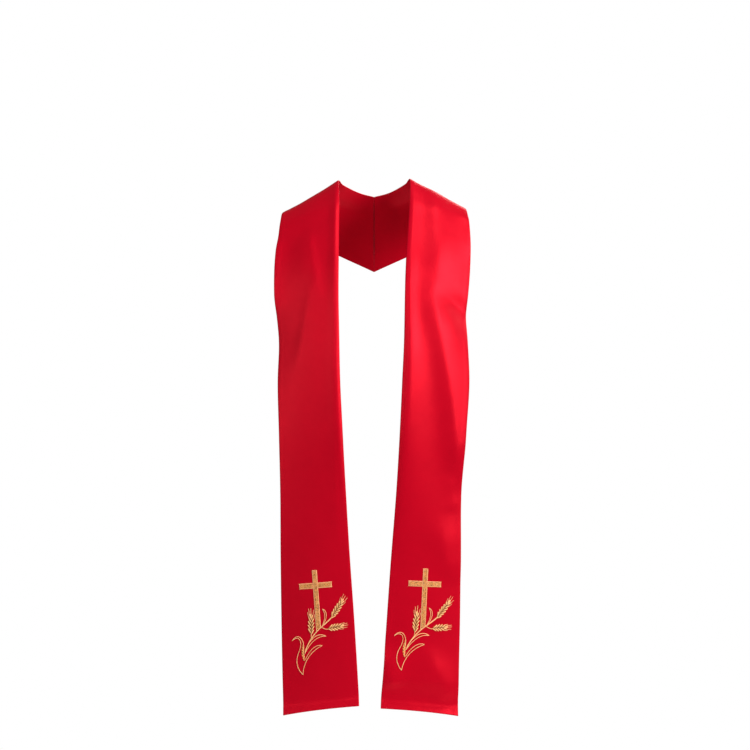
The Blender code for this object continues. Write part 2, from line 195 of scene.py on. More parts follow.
class Band:
    """One half of the stole as a surface: along runs from the hem, across from the inner edge."""

    def __init__(self, name, side, stations, folds, motif):
        self.name = name
        self.side = side  # -1 is the wearer's right, +1 the wearer's left
        self.folds = folds
        self.motif = motif
        out = np.array([side, 1.0, 1.0])
        self.inner = np.array([s[1:4] for s in stations]) * out
        self.outer = np.array([s[4:7] for s in stations]) * out
        self.crown = np.array([s.crown for s in stations])
        middle = (self.inner + self.outer) / 2
        steps = np.linalg.norm(np.diff(middle, axis=0), axis=1)
        self.knots = np.concatenate([[0.0], np.cumsum(steps)])
        self.length = self.knots[-2]  # the last station only guides the cloth past the seam
        self.cut_width = np.linalg.norm(self.outer - self.inner, axis=1)[:-1].max()
        self.cut_length = np.linalg.norm(np.diff(self.outer[:-1], axis=0), axis=1).sum()

    def smooth(self, values, along):
        """A cubic through each station's value, with slopes taken from the neighbours."""
        slopes = np.gradient(values, self.knots, axis=0)
        span = np.clip(np.searchsorted(self.knots, along) - 1, 0, len(self.knots) - 2)
        start, end = self.knots[span], self.knots[span + 1]
        width = end - start
        t = (along - start) / width
        if values.ndim == 2:
            t, width = t[:, None], width[:, None]
        return (
            (2 * t**3 - 3 * t**2 + 1) * values[span]
            + (t**3 - 2 * t**2 + t) * width * slopes[span]
            + (3 * t**2 - 2 * t**3) * values[span + 1]
            + (t**3 - t**2) * width * slopes[span + 1]
        )

    def chord(self, along, across):
        """A point on the straight line between the two edges."""
        inner = self.smooth(self.inner, along)
        outer = self.smooth(self.outer, along)
        return inner + (outer - inner) * across[:, None]

    def width(self, along):
        """How far apart the two edges are."""
        return np.linalg.norm(self.smooth(self.outer, along) - self.smooth(self.inner, along), axis=1)

    def normal(self, along, across):
        """The direction that points out of the cloth, away from the wearer."""
        rise = self.chord(along + PROBE, across) - self.chord(along - PROBE, across)
        run = self.chord(along, across + PROBE) - self.chord(along, across - PROBE)
        cross = np.cross(run, rise) * self.side
        return cross / np.linalg.norm(cross, axis=1)[:, None]

    def fold_height(self, along, across):
        """The height of all folds at a point."""
        width = self.width(along)
        total = np.zeros_like(along)
        for fold in self.folds:
            run_along = fold.high_along - fold.low_along
            run_across = (fold.high_across - fold.low_across) * width
            from_along = along - fold.low_along
            from_across = (across - fold.low_across) * width
            length = np.hypot(run_along, run_across)
            reach = (from_along * run_along + from_across * run_across) / length
            aside = (from_along * run_across - from_across * run_along) / length
            spread = np.where(aside > 0, fold.inner_width, fold.outer_width)
            fade = ease(reach / fold.low_fade) * ease((length - reach) / fold.high_fade)
            total += fold.height * fade * np.exp(-np.abs(aside / spread) ** CREST)
        return total

    def unevenness(self, along, across, step_along, step_across):
        """Smooth noise from -1 to 1, with swells of the sizes given."""
        places = zip(across * self.cut_width / step_across + 7 * self.side, along / step_along)
        return np.array([noise.noise(Vector((x, y, 0.0))) for x, y in places])

    def ripple(self, along, across):
        """The slight unevenness of cloth that has been worn, longer down the band than across it."""
        return RIPPLE_HEIGHT * self.unevenness(along, across, RIPPLE_ALONG, RIPPLE_ACROSS)

    def finish_height(self, along, across, hem_depth, turn_width, turn_height):
        """What the sewing adds to the face: the rolled edges and the cloth turned in behind them."""
        from_edge = np.minimum(across, 1 - across) * self.width(along)
        roll = -ROLL_DROP * (1 - np.clip(from_edge / ROLL_WIDTH, 0, 1)) ** 2
        turned_edge = turn_height / 2 * ease((turn_width - from_edge) / HEM_STEP)
        turned_hem = turn_height * ease((hem_depth - along) / HEM_STEP)
        sewn = PUCKER_HEIGHT * np.exp(-(((along - hem_depth) / PUCKER_ALONG) ** 2))
        pucker = sewn * self.unevenness(along, across, hem_depth, PUCKER_ACROSS)
        return roll + turned_edge + turned_hem + pucker

    def point(self, along, across, lift=0.0):
        """Points on the cloth's underside, moved out by lift."""
        along = np.atleast_1d(np.asarray(along, dtype=float))
        across = np.atleast_1d(np.asarray(across, dtype=float))
        bulge = self.smooth(self.crown, along) * 4 * across * (1 - across)
        height = bulge + self.fold_height(along, across) + self.ripple(along, across) + lift
        return self.chord(along, across) + self.normal(along, across) * height[:, None]

    def seam_points(self, places):
        """Points of the centre-back seam: aside from it, up from the neck edge, and off the underside."""
        aside, up, lift = places.T
        width = float(self.width(np.array([self.length]))[0])
        points = self.point(np.full_like(up, self.length), -up / width, lift)
        points[:, 0] = aside
        return points

    def motif_points(self, places, wall):
        """Points of the embroidery: right and up from the crossing as seen from the front, and lift."""
        right, up, lift = places.T
        turn = math.radians(self.motif.turn_deg)
        aside = right * math.cos(turn) - up * math.sin(turn)
        above = right * math.sin(turn) + up * math.cos(turn)
        along = self.motif.along + above
        across = self.motif.across + self.side * aside / self.width(along)
        return self.point(along, across, wall + lift)


BANDS = (
    Band("right", -1, RIGHT_STATIONS, RIGHT_FOLDS, Motif(0.2490, 0.500, 1.7)),
    Band("left", 1, LEFT_STATIONS, LEFT_FOLDS, Motif(0.2550, 0.489, -0.5)),
)


# Shader maths


class Signal:
    """A node's output that takes part in Python expressions."""

    def __init__(self, nodes, socket):
        self.nodes = nodes
        self.socket = socket

    def maths(self, operation, *values):
        return self.nodes.signal("ShaderNodeMath", {"operation": operation}, dict(enumerate(values)))

    def __add__(self, other):
        return self.maths("ADD", self, other)

    def __radd__(self, other):
        return self.maths("ADD", other, self)

    def __sub__(self, other):
        return self.maths("SUBTRACT", self, other)

    def __rsub__(self, other):
        return self.maths("SUBTRACT", other, self)

    def __mul__(self, other):
        return self.maths("MULTIPLY", self, other)

    def __rmul__(self, other):
        return self.maths("MULTIPLY", other, self)

    def __truediv__(self, other):
        return self.maths("DIVIDE", self, other)

    def sine(self):
        return self.maths("SINE", self)

    def clamped(self):
        return self.maths("MINIMUM", self.maths("MAXIMUM", self, 0.0), 1.0)


class Nodes:
    """The nodes of one material or of the surroundings."""

    def __init__(self, tree):
        self.tree = tree

    def feed(self, socket, value):
        """Links a signal to a socket, or sets the socket to a plain value."""
        if isinstance(value, Signal):
            self.tree.links.new(value.socket, socket)
        else:
            socket.default_value = value

    def node(self, kind, settings, sockets):
        """A node of any kind, with its settings made first, then its sockets fed."""
        made = self.tree.nodes.new(kind)
        for name, value in settings.items():
            setattr(made, name, value)
        for name, value in sockets.items():
            self.feed(made.inputs[name], value)
        return made

    def signal(self, kind, settings, sockets, output=0):
        return Signal(self, self.node(kind, settings, sockets).outputs[output])

    def mix(self, share, first, second):
        """A colour between two others. The colour sockets come after the node's number and vector ones."""
        return self.signal("ShaderNodeMix", {"data_type": "RGBA"}, {0: share, 6: first, 7: second}, 2)


class Shader(Nodes):
    """One material's nodes, built around its surface shader."""

    def __init__(self, name):
        self.material = bpy.data.materials.new(name)
        self.material.use_nodes = True
        super().__init__(self.material.node_tree)
        self.surface = self.tree.nodes["Principled BSDF"]

    def finish(self, **sockets):
        """Feeds the surface shader, with spaces for underscores in the sockets' names."""
        for name, value in sockets.items():
            self.feed(self.surface.inputs[name.replace("_", " ")], value)
        return self.material


def rgba(colour, strength=1.0):
    """A colour for a socket: with its alpha, and made lighter or darker by a strength."""
    return (*[channel * strength for channel in colour], 1.0)


def satin_material(settings):
    """Soft twill-backed satin: fine slanting floats, a slight unevenness of dye, and a low sheen."""
    shader = Shader("red_satin")
    flat = shader.signal("ShaderNodeUVMap", {"uv_map": "flat_cut"}, {})
    across = shader.signal("ShaderNodeSeparateXYZ", {}, {0: flat}, "X")
    along = shader.signal("ShaderNodeSeparateXYZ", {}, {0: flat}, "Y")
    turns = 2 * math.pi / settings.yarn
    twill = ((across * 1.0 + along * 0.55) * turns).sine()
    weft = (along * (turns * 1.3)).sine()
    stretched = shader.signal("ShaderNodeMapping", {}, {"Vector": flat, "Scale": (60.0, 900.0, 1.0)})
    slub = shader.signal("ShaderNodeTexNoise", {}, {"Vector": stretched, "Scale": 1.0, "Detail": 2.0})
    dye = shader.signal("ShaderNodeTexNoise", {}, {"Vector": flat, "Scale": 22.0, "Detail": 3.0})
    light = shader.mix(dye, rgba(settings.colour, 0.93), rgba(settings.colour, 1.07))
    colour = shader.mix((slub - 0.35).clamped() * 0.35, light, rgba(settings.colour, 0.82))
    height = twill * 0.5 + weft * 0.3 + slub * 0.8
    weave = shader.signal("ShaderNodeBump", {}, {"Strength": 0.35, "Distance": 0.00008, "Height": height})
    return shader.finish(
        Base_Color=colour,
        Roughness=0.35 + (slub - 0.5) * 0.10,
        Metallic=settings.lustre,
        Specular_IOR_Level=settings.gloss,
        Specular_Tint=rgba((1.0, 0.80, 0.72)),
        Sheen_Weight=settings.sheen,
        Sheen_Roughness=0.45,
        Sheen_Tint=rgba((1.0, 0.45, 0.5)),
        Normal=weave,
    )


def thread_material(name, dark, middle, light, metal):
    """Shiny thread: each stitch has a shade of its own, and fine twisted plies."""
    shader = Shader(name)
    shade = shader.signal("ShaderNodeAttribute", {"attribute_name": "shade"}, {}, "Fac")
    ply = shader.signal("ShaderNodeAttribute", {"attribute_name": "ply"}, {}, "Fac")
    place = shader.signal("ShaderNodeTexCoord", {}, {}, "Object")
    wear = shader.signal("ShaderNodeTexNoise", {}, {"Vector": place, "Scale": 300.0, "Detail": 2.0})
    twist = (ply * (2 * math.pi)).sine()
    # The twist also shifts the colour a little: painted shade in the grooves between the plies and a painted
    # highlight on their crests, beside their bump
    tone = (shade + twist * 0.06 + (wear - 0.5) * 0.25).clamped()
    low = shader.mix((tone * 2.0).clamped(), rgba(dark), rgba(middle))
    colour = shader.mix((tone * 2.0 - 1.0).clamped(), low, rgba(light))
    plies = shader.signal("ShaderNodeBump", {}, {"Strength": 0.5, "Distance": 0.0001, "Height": twist})
    return shader.finish(
        Base_Color=colour,
        Roughness=0.40 + (wear - 0.5) * 0.2,
        Metallic=metal,
        Specular_IOR_Level=0.45,
        Normal=plies,
    )


def floor_material(name, colour, radius):
    """Matt and pale, and clear towards the rim, so that the floor runs out into the surroundings."""
    shader = Shader(name)
    place = shader.signal("ShaderNodeTexCoord", {}, {}, "Object")
    right = shader.signal("ShaderNodeSeparateXYZ", {}, {0: place}, "X")
    ahead = shader.signal("ShaderNodeSeparateXYZ", {}, {0: place}, "Y")
    cloud = shader.signal("ShaderNodeTexNoise", {}, {"Vector": place, "Scale": 1.5, "Detail": 2.0})
    inside = 1.0 - (right * right + ahead * ahead) / (radius * radius)
    return shader.finish(
        Base_Color=shader.mix(cloud, rgba(colour, 0.98), rgba(colour)),
        Roughness=0.8,
        Alpha=(inside * 1.5).clamped(),
    )


# Making pieces


def add_piece(name, bm, material, slot, *replaced):
    """Turns a bmesh into a smooth piece of the stole that rides with the cloth."""
    mesh = bpy.data.meshes.new(name)
    bm.to_mesh(mesh)
    bm.free()
    mesh.materials.append(material)
    mesh.shade_smooth()
    piece = bpy.data.objects.new(name, mesh)
    bpy.context.scene.collection.objects.link(piece)
    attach(piece, BODY)
    if replaced:
        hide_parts(*replaced)
    return piece


def flat_slab(width, length, wall):
    """The band as it lies sewn on the table: a thin slab of cells with rounded, pressed edges."""
    bm = bmesh.new()
    bmesh.ops.create_grid(bm, x_segments=CELLS_ACROSS, y_segments=CELLS_ALONG, size=0.5)
    bmesh.ops.translate(bm, verts=bm.verts, vec=(0.5, 0.5, 0.0))
    for vert in bm.verts:
        crowded = 0.5 - 0.5 * math.cos(math.pi * vert.co.x)
        vert.co.x += (crowded - vert.co.x) * EDGE_CROWDING
    bmesh.ops.scale(bm, verts=bm.verts, vec=(width, length, 1.0))
    raised = bmesh.ops.extrude_face_region(bm, geom=bm.faces[:], use_keep_orig=True)
    top = [part for part in raised["geom"] if isinstance(part, bmesh.types.BMVert)]
    bmesh.ops.translate(bm, verts=top, vec=(0.0, 0.0, wall))
    bmesh.ops.recalc_face_normals(bm, faces=bm.faces)
    corners = [edge for edge in bm.edges if edge.calc_face_angle(0.0) > math.radians(CORNER_DEG)]
    bmesh.ops.bevel(
        bm, geom=corners, offset=EDGE_ROUND, segments=ROUND_STEPS, profile=0.5, affect="EDGES", material=-1
    )
    return bm


def map_flat_cut(bm, width, length, wall):
    """A UV map in metres: the flat cut, let out a little so that the rims keep some width."""
    layer = bm.loops.layers.uv.new("flat_cut")
    for face in bm.faces:
        for loop in face.loops:
            x, y, z = loop.vert.co
            under = wall - z
            loop[layer].uv = (x + under * (2 * x / width - 1), y + under * (2 * y / length - 1))


def cut_mitre(bm, side):
    """Cuts a laid band flat on its own side of the centre plane, half the seam's gap away from it."""
    geometry = bm.verts[:] + bm.edges[:] + bm.faces[:]
    bmesh.ops.bisect_plane(
        bm,
        geom=geometry,
        dist=SAME_PLACE,
        plane_co=(side * SEAM_X, 0, 0),
        plane_no=(side, 0, 0),
        clear_inner=True,
    )
    rim = [edge for edge in bm.edges if edge.is_boundary]
    bmesh.ops.holes_fill(bm, edges=rim, sides=0)
    bmesh.ops.bevel(
        bm, geom=rim, offset=SEAM_ROUND, segments=ROUND_STEPS, profile=0.5, affect="EDGES", material=-1
    )


def lay_band(band, cloth, material):
    """Lays the flat slab through the band's sections and cuts its mitre."""
    width, length = band.cut_width, band.length + OVERRUN
    bm = flat_slab(width, length, cloth.wall)
    map_flat_cut(bm, width, length, cloth.wall)
    places = np.array([vert.co for vert in bm.verts])
    across = np.clip(places[:, 0] / width, 0, 1)
    if band.side < 0:
        across = 1 - across
    hem = HEM_ARCH * 4 * across * (1 - across)
    along = hem + places[:, 1] * (length - hem) / length
    raised = places[:, 2] / cloth.wall
    added = band.finish_height(along, across, cloth.hem_depth, cloth.turn_width, cloth.turn_height)
    points = band.point(along, across, places[:, 2] + raised * added)
    for vert, point in zip(bm.verts, points):
        vert.co = point
    cut_mitre(bm, band.side)
    return add_piece(f"satin_{band.name}", bm, material, "satin", f"band_{band.name}")


# Stitches

# A stitch lies from start to end on the cloth, right and up from the crossing of the arms. rise is how
# far its middle stands up, shade runs from 0, dark, to 1, light, and lift is what lies under it.
Stitch = namedtuple(
    "Stitch", "start_right start_up end_right end_up width rise shade lift", defaults=(0.0,)
)

THREAD_SIDES = 6
THREAD_STEPS = 6
THREAD_BLUNTNESS = 0.55  # below 1 fills out the ends of a stitch
THREAD_FLATNESS = 0.75
PLY_PITCH = 0.0009
PLY_SLANT = 0.5  # turns of the plies from one side of a stitch's middle to its edge
SINK = 0.00012  # how far a stitch's ends go into the cloth
CURVE_STEPS = 60  # straight steps that stand for a curve when it is measured


def thread_template():
    """One stitch from -1 to 1 along X: a round form with filled-out ends."""
    bm = bmesh.new()
    upright = Matrix.Rotation(math.pi / 2, 3, "Y")
    bmesh.ops.create_uvsphere(bm, u_segments=THREAD_SIDES, v_segments=THREAD_STEPS, radius=1.0)
    bmesh.ops.rotate(bm, verts=bm.verts, cent=(0, 0, 0), matrix=upright)
    for vert in bm.verts:
        girth = math.hypot(vert.co.y, vert.co.z)
        if girth > 1e-4:
            vert.co.yz *= girth**THREAD_BLUNTNESS / girth
    mesh = bpy.data.meshes.new("thread_template")
    bm.to_mesh(mesh)
    bm.free()
    return mesh


def sew(name, place, stitches, material, slot, *replaced):
    """Copies the one stitch to every place in a list, lays each on the cloth and joins them."""
    template = thread_template()
    form = np.array([vert.co for vert in template.vertices])
    bm = bmesh.new()
    for _ in stitches:
        bm.from_mesh(template)
    bpy.data.meshes.remove(template)

    table = np.array([tuple(stitch) for stitch in stitches])
    start, end = table[:, None, 0:2], table[:, None, 2:4]
    width, rise, shade, under = (table[:, column, None] for column in (4, 5, 6, 7))
    run = (end - start) / 2
    length = np.linalg.norm(run, axis=2, keepdims=True)
    aside = np.concatenate([-run[..., 1:], run[..., :1]], axis=2) / length
    x, y, z = form.T
    spread = start + run * (1 + x[None, :, None]) + aside * (y * width / 2)[..., None]
    lift = under + rise * (1 - x**2) - SINK + (1 + z) * width / 2 * THREAD_FLATNESS
    places = np.concatenate([spread, lift[..., None]], axis=2).reshape(-1, 3)
    ply = (x[None, :] * length[..., 0]) / PLY_PITCH + y[None, :] * PLY_SLANT

    piece = add_piece(name, bm, material, slot, *replaced)
    piece.data.vertices.foreach_set("co", place(places).ravel())
    for attribute, values in (("shade", np.broadcast_to(shade, ply.shape)), ("ply", ply)):
        layer = piece.data.attributes.new(attribute, "FLOAT", "POINT")
        layer.data.foreach_set("value", np.ascontiguousarray(values, dtype=np.float32).ravel())
    piece.data.update()
    return piece


def bezier(points, share):
    """A point on the cubic curve of four control points."""
    a, b, c, d = (Vector(point) for point in points)
    left = 1 - share
    return a * left**3 + b * 3 * left**2 * share + c * 3 * left * share**2 + d * share**3


def evenly_along(points, step):
    """Points at even steps along a cubic curve, the last one on its end."""
    fine = [bezier(points, index / CURVE_STEPS) for index in range(CURVE_STEPS + 1)]
    reach = [0.0]
    for first, second in zip(fine, fine[1:]):
        reach.append(reach[-1] + (second - first).length)
    count = max(2, round(reach[-1] / step))
    wanted = np.linspace(0, reach[-1], count + 1)
    xs, ys = (np.interp(wanted, reach, [point[axis] for point in fine]) for axis in (0, 1))
    return [Vector(place) for place in zip(xs, ys)]


SEAM_STITCH = 0.0028
SEAM_THREAD = 0.0022  # wide enough to close the groove between the pressed edges
SEAM_END = 0.0012  # how far the seam's stitching stops before the edges
SEAM_DEPTH = 0.0009  # from each face of the cloth down to the middle of the thread
SEAM_OVERLAP = 0.2  # how far a stitch runs past each end of its step, as a share of the step
SEAM_SHADE = 0.6
SEAM_SPREAD = 0.3


def seam_stitches(band, wall, rng):
    """Two rows of stitches down the centre back, one in the face's groove and one in the inner side's."""
    width = float(band.width(np.array([band.length]))[0])
    count = round((width - 2 * SEAM_END) / SEAM_STITCH)
    step = (width - 2 * SEAM_END) / count
    stitches = []
    for lift in (SEAM_DEPTH, wall - SEAM_DEPTH):
        for index in range(count):
            up = -SEAM_END - index * step
            under = lift - SEAM_THREAD / 2 * THREAD_FLATNESS + SINK
            shade = SEAM_SHADE + rng.uniform(-SEAM_SPREAD, SEAM_SPREAD)
            start, end = up + step * SEAM_OVERLAP, up - step * (1 + SEAM_OVERLAP)
            stitches.append(Stitch(0.0, start, 0.0, end, SEAM_THREAD, 0.0, shade, under))
    return stitches


# The embroidery's drawing, in metres right and up from the crossing of the arms

CROSS_TOP = 0.0306
CROSS_FOOT = 0.0880
CROSS_SPAN = 0.0655  # tip to tip of the bar
CROSS_UPRIGHT_WIDTH = 0.0100
CROSS_BAR_WIDTH = 0.0110
CROSS_FOOT_SLANT = 0.75  # the foot's end rises to the right, along the stem
CROSS_BORDER = 0.0017  # width of the satin-stitched border round each arm

# A stitch's width is its row's pitch times a cover, which is above 1 so that no cloth shows between.
PAD_PITCH = 0.0013
PAD_COVER = 1.4
PAD_LENGTH = 0.0120
PAD_HEIGHT = 0.0007
# Nearly dark: where the pad shows between the fill's stitches it is painted shade in the gaps
PAD_SHADE = 0.05
FILL_PITCH = 0.00065
FILL_COVER = 1.05
FILL_LENGTH = 0.0032
FILL_RISE = 0.0003
# The fill is darker than the borders: partly the threads' own colours, partly painted shade, as the
# stipple's short stitches catch less light than the satin borders
FILL_SHADE = 0.55
FILL_DARKER = 0.20
FILL_LIGHTER = 0.25
SATIN_PITCH = 0.00055
SATIN_COVER = 1.25
SATIN_RISE = 0.0006
SATIN_RAGGED = 0.00012  # how uneven the ends of the satin stitches are
SATIN_SPREAD = 0.12
# Lighter than the fill: partly the thread's own colour, partly a painted highlight on the satin stitches
BORDER_SHADE = 0.90
SHORTEST = 0.25  # a stitch left shorter than this share of the full length isn't sewn
FLECKS = 0.16  # share of the fill's stitches that lie in the dark
FLECK_SHADE = 0.12
BRICK_SHIFT = 0.37  # share of a stitch by which each row starts before the last one

# A line of the drawing: four control points, then the thread's width.
Stroke = namedtuple("Stroke", "name start leave arrive end width")

STEMS = (
    Stroke(
        "stem_low",
        (-0.0310, -0.1320), (-0.0240, -0.1110), (-0.0100, -0.0950), (0.0070, -0.0820), 0.0025,
    ),
    Stroke(
        "stem_high",
        (0.0070, -0.0820), (0.0150, -0.0765), (0.0225, -0.0705), (0.0295, -0.0640), 0.0029,
    ),
    Stroke(
        "upright_stalk",
        (-0.0175, -0.1075), (-0.0162, -0.1045), (-0.0155, -0.1010), (-0.0152, -0.0930), 0.0015,
    ),
    Stroke(
        "level_stalk",
        (0.0060, -0.0830), (0.0105, -0.0865), (0.0150, -0.0885), (0.0205, -0.0883), 0.0014,
    ),
)

LEAVES = (
    Stroke(
        "left_leaf_upper",
        (-0.0335, -0.1260), (-0.0290, -0.1080), (-0.0400, -0.0860), (-0.0560, -0.1060), 0.0014,
    ),
    Stroke(
        "left_leaf_lower",
        (-0.0420, -0.1260), (-0.0330, -0.1080), (-0.0410, -0.0930), (-0.0560, -0.1060), 0.0013,
    ),
    Stroke(
        "base_left",
        (-0.0380, -0.1735), (-0.0525, -0.1580), (-0.0510, -0.1420), (-0.0420, -0.1260), 0.0014,
    ),
    Stroke(
        "base_right",
        (-0.0380, -0.1735), (-0.0360, -0.1500), (-0.0180, -0.1275), (0.0050, -0.1200), 0.0014,
    ),
    Stroke(
        "low_leaf_upper",
        (-0.0320, -0.1460), (-0.0230, -0.1290), (-0.0090, -0.1150), (0.0050, -0.1195), 0.0013,
    ),
    Stroke(
        "middle_leaf_upper",
        (-0.0300, -0.1260), (-0.0200, -0.1075), (-0.0030, -0.0895), (0.0140, -0.1020), 0.0015,
    ),
    Stroke(
        "middle_leaf_lower",
        (-0.0290, -0.1290), (-0.0190, -0.1135), (-0.0040, -0.0985), (0.0140, -0.1020), 0.0013,
    ),
    Stroke(
        "curl_outer",
        (0.0085, -0.0800), (0.0175, -0.0700), (0.0230, -0.0530), (0.0105, -0.0472), 0.0013,
    ),
    Stroke(
        "curl_inner",
        (0.0085, -0.0800), (0.0135, -0.0700), (0.0180, -0.0575), (0.0105, -0.0472), 0.0012,
    ),
)

WEDGE_TOP = (-0.0325, -0.1120)
WEDGE_FOOT = (-0.0340, -0.1470)
WEDGE_LEAN = -0.0018  # how far the wedge's middle bows to the left
WEDGE_WIDTH = 0.0046
WEDGE_GROUP = 5  # stitches of one shade, before the next shade
WEDGE_FULLNESS = 0.75  # below 1 puts the wedge's widest part nearer its foot
WEDGE_END = 0.0004  # half the width left at its two ends
WEDGE_SLANT = 0.9
WEDGE_COVER = 1.3
WEDGE_RISE = 0.0005
WEDGE_SHADE = 0.30  # the shades: of the middle, of one side against the other, and of one group. The side's share is painted light and shade: one slant of stitches lit, the other darker
WEDGE_SIDE_SHADE = 0.20
WEDGE_GROUP_SHADE = 0.40
WEDGE_SPREAD = 0.12

# An ear of wheat, from its stalk to the tip of its kernels. awn_length and awn_width are those of the
# bristles past the kernels, and awn_spread is how far these lean out, or in where it is negative.
Ear = namedtuple(
    "Ear", "name stalk_right stalk_up tip_right tip_up width pairs awn_length awn_width awn_spread"
)

EARS = (
    Ear("upright", -0.0155, -0.0965, -0.0130, -0.0545, 0.0160, 5, 0.0112, 0.0010, 0.20),
    Ear("raised", 0.0275, -0.0665, 0.0536, -0.0310, 0.0160, 6, 0.0090, 0.0008, 0.24),
    Ear("level", 0.0195, -0.0868, 0.0515, -0.0838, 0.0170, 5, 0.0086, 0.0009, 0.07),
)

KERNEL_STITCHES = 5
KERNEL_OVERLAP = 1.45  # a kernel's length in steps from one pair to the next
KERNEL_WIDTH = 0.180  # as a share of the ear's width
KERNEL_ROOT = 0.030  # how far out from the middle a kernel starts, and ends, as shares of that width
KERNEL_END = 0.41
KERNEL_RISE = 0.0009
KERNEL_LIFT = 0.0004  # what lies under a kernel, and under the one at the tip
TIP_KERNEL_LIFT = 0.0006
TIP_KERNEL_REACH = 0.1  # how far that one runs past the tip, in kernel lengths
KERNEL_SHORTER = 0.16  # how much shorter its outer stitches are at each end, as a share of its length
KERNEL_LOW_WIDTH = 0.25  # how far out its stitches lie at the root, and at the tip, as shares of its width
KERNEL_HIGH_WIDTH = 0.40
KERNEL_COVER = 1.2
KERNEL_SHADING = 0.62  # how much darker its outer stitches are
KERNEL_DARKER = 0.12
KERNEL_LIGHTER = 0.10
SIDE_STEP = 0.4  # how far one side's kernels are ahead of the other's, in steps
LOW_AWN = 0.85  # the length of the lower pair of awns, as a share of the upper ones
END_AWN = 1.05  # and that of the one at the tip
EAR_END = 0.42  # how wide an ear is at its two ends, as a share of its width
AWN_SHORTEST = 0.8
AWN_LONGEST = 1.1
AWN_TUCK = 0.3  # how far an awn starts back under its kernel, in kernel lengths
AWN_RISE = 0.0004
AWN_SHADE = 0.9
UNDERLAY_WIDTH = 0.62
UNDERLAY_PITCH = 0.0010
UNDERLAY_COVER = 1.3
UNDERLAY_SHORTER = 0.9  # how much shorter the outer rows are
UNDERLAY_MARKS = (0.0, 0.35, 0.7, 1.0)  # where a row's stitches start and end
UNDERLAY_RISE = 0.0002
# Nearly dark, so that the underlay shows between the kernels as painted shade
UNDERLAY_SHADE = 0.06


STEM_SLANT = 0.18  # how far a rope's stitches lean off its line, as a share of its width
STEM_THREAD = 0.8  # and how thick they are
STEM_RISE = 0.0003
STEM_SHADE = 0.85
STEM_SPREAD = 0.15


def stem_stitches(stroke, stitch_length, rng):
    """A rope of short stitches along a line, each starting halfway along the one before."""
    half = stitch_length / 2
    places = evenly_along((stroke.start, stroke.leave, stroke.arrive, stroke.end), half)
    stitches = []
    for index in range(len(places) - 2):
        start, end = places[index], places[index + 2]
        run = (end - start).normalized()
        shift = Vector((-run.y, run.x)) * stroke.width * STEM_SLANT
        first, last = start - shift, end + shift
        shade = STEM_SHADE + rng.uniform(-STEM_SPREAD, STEM_SPREAD)
        stitches.append(Stitch(*first, *last, stroke.width * STEM_THREAD, STEM_RISE, shade))
    return stitches


def satin_run(places, across, width, rng, shade):
    """Close parallel stitches that cover a strip: each crosses it at one of the places."""
    stitches = []
    for place in places:
        reach = across * (width / 2 + rng.uniform(-SATIN_RAGGED, SATIN_RAGGED))
        tone = shade + rng.uniform(-SATIN_SPREAD, SATIN_SPREAD)
        start, end = place - reach, place + reach
        stitches.append(Stitch(*start, *end, SATIN_PITCH * SATIN_COVER, SATIN_RISE, tone))
    return stitches


def brick_rows(origin, along, across, length, width, pitch, stitch_length, stitch):
    """Rows of running stitches laid like bricks over a rectangle, each made by the function stitch."""
    rows = max(1, round(width / pitch))
    stitches = []
    for row in range(rows):
        aside = across * ((row + 0.5) / rows - 0.5) * width
        offset = -stitch_length * ((row * BRICK_SHIFT) % 1)
        while offset < length:
            low, high = max(0.0, offset), min(length, offset + stitch_length)
            if high - low > stitch_length * SHORTEST:
                stitches.append(stitch(origin + along * low + aside, origin + along * high + aside))
            offset += stitch_length
    return stitches


def filled_middle(origin, along, across, length, width, rng):
    """The stippled middle of an arm: short stitches over a flat dark pad, whose dark shows between them as
    painted shade.
    """

    def pad(start, end):
        return Stitch(*start, *end, PAD_PITCH * PAD_COVER, 0.0, PAD_SHADE)

    def fill(start, end):
        if rng.random() < FLECKS:
            shade = FLECK_SHADE
        else:
            shade = FILL_SHADE + rng.uniform(-FILL_DARKER, FILL_LIGHTER)
        return Stitch(*start, *end, FILL_PITCH * FILL_COVER, FILL_RISE, shade, PAD_HEIGHT)

    stitches = brick_rows(origin, along, across, length, width, PAD_PITCH, PAD_LENGTH, pad)
    return stitches + brick_rows(origin, along, across, length, width, FILL_PITCH, FILL_LENGTH, fill)


def arm_stitches(low, high, width, rng, slant=0.0, capped=(True, True)):
    """One arm of the cross: a stippled middle between satin-stitched borders, with capped ends."""
    low, high = Vector(low), Vector(high)
    along = (high - low).normalized()
    across = Vector((along.y, -along.x))
    length = (high - low).length
    middle = width - 2 * CROSS_BORDER
    start = CROSS_BORDER if capped[0] else 0.0
    stop = length - (CROSS_BORDER if capped[1] else 0.0)
    stitches = filled_middle(low + along * start, along, across, stop - start, middle, rng)
    for side in (-1, 1):
        centre = across * side * (width - CROSS_BORDER) / 2
        begin = slant * side * (width - CROSS_BORDER) / 2
        steps = np.arange(begin, length, SATIN_PITCH)
        places = [low + along * step + centre for step in steps]
        stitches += satin_run(places, across, CROSS_BORDER, rng, BORDER_SHADE)
    for end, place in zip(capped, (CROSS_BORDER / 2, length - CROSS_BORDER / 2)):
        if end:
            steps = np.arange(-middle / 2, middle / 2, SATIN_PITCH)
            lean = slant if place < length / 2 else 0.0
            places = [low + along * (place + lean * step) + across * step for step in steps]
            stitches += satin_run(places, along, CROSS_BORDER, rng, BORDER_SHADE)
    return stitches


def cross_stitches(rng):
    """The bar first, in two arms, then the upright over it."""
    half = CROSS_SPAN / 2
    inside = CROSS_UPRIGHT_WIDTH / 2
    stitches = arm_stitches((-half, 0), (-inside, 0), CROSS_BAR_WIDTH, rng, capped=(True, False))
    stitches += arm_stitches((half, 0), (inside, 0), CROSS_BAR_WIDTH, rng, capped=(True, False))
    stitches += arm_stitches((0, -CROSS_FOOT), (0, CROSS_TOP), CROSS_UPRIGHT_WIDTH, rng, CROSS_FOOT_SLANT)
    return stitches


